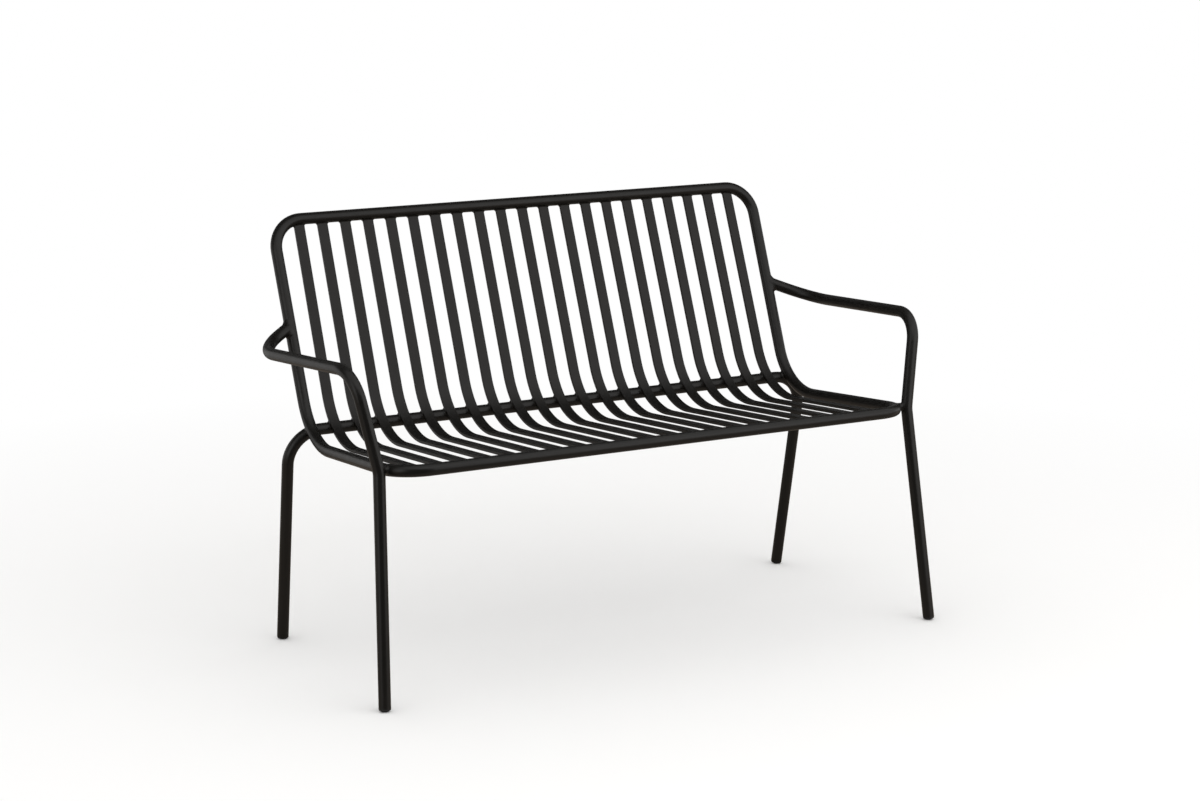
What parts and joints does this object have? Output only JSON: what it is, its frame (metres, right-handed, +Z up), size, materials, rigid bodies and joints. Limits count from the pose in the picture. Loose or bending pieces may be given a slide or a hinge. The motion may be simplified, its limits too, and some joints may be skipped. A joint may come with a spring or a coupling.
{
  "type": "garden sofa",
  "caption": "Outdoor bench sofa of bent black steel tube, with a curved slatted seat and back, open looped arms and splayed legs.",
  "frame": {"origin": "on the floor, under the middle of the sofa's width and depth", "axes": "+X to the right as seen from the front, along the seat's width; +Y from the front to the back; +Z up"},
  "size_m": [1.233, 0.5999, 0.796],
  "materials": {
    "frame_coat": "satin black powder coat on steel tube, fine texture",
    "slat_coat": "satin black powder coat on steel flat bar, fine texture",
    "glide_plastic": "matte black polyethylene"
  },
  "bodies": {
    "root": {"back_frame_tube": "frame_coat", "front_rail_tube": "frame_coat", "rear_leg_hoop": "frame_coat", "arm_leg_left": "frame_coat", "arm_leg_right": "frame_coat", "leg_peg_left": "frame_coat", "leg_peg_right": "frame_coat", "slat_01": "slat_coat", "slat_02": "slat_coat", "slat_03": "slat_coat", "slat_04": "slat_coat", "slat_05": "slat_coat", "slat_06": "slat_coat", "slat_07": "slat_coat", "slat_08": "slat_coat", "slat_09": "slat_coat", "slat_10": "slat_coat", "slat_11": "slat_coat", "slat_12": "slat_coat", "slat_13": "slat_coat", "slat_14": "slat_coat", "slat_15": "slat_coat", "slat_16": "slat_coat", "slat_17": "slat_coat", "slat_18": "slat_coat", "slat_19": "slat_coat", "slat_20": "slat_coat", "slat_21": "slat_coat", "glide_front_left": "glide_plastic", "glide_front_right": "glide_plastic", "glide_rear_left": "glide_plastic", "glide_rear_right": "glide_plastic"}
  },
  "joints": []
}
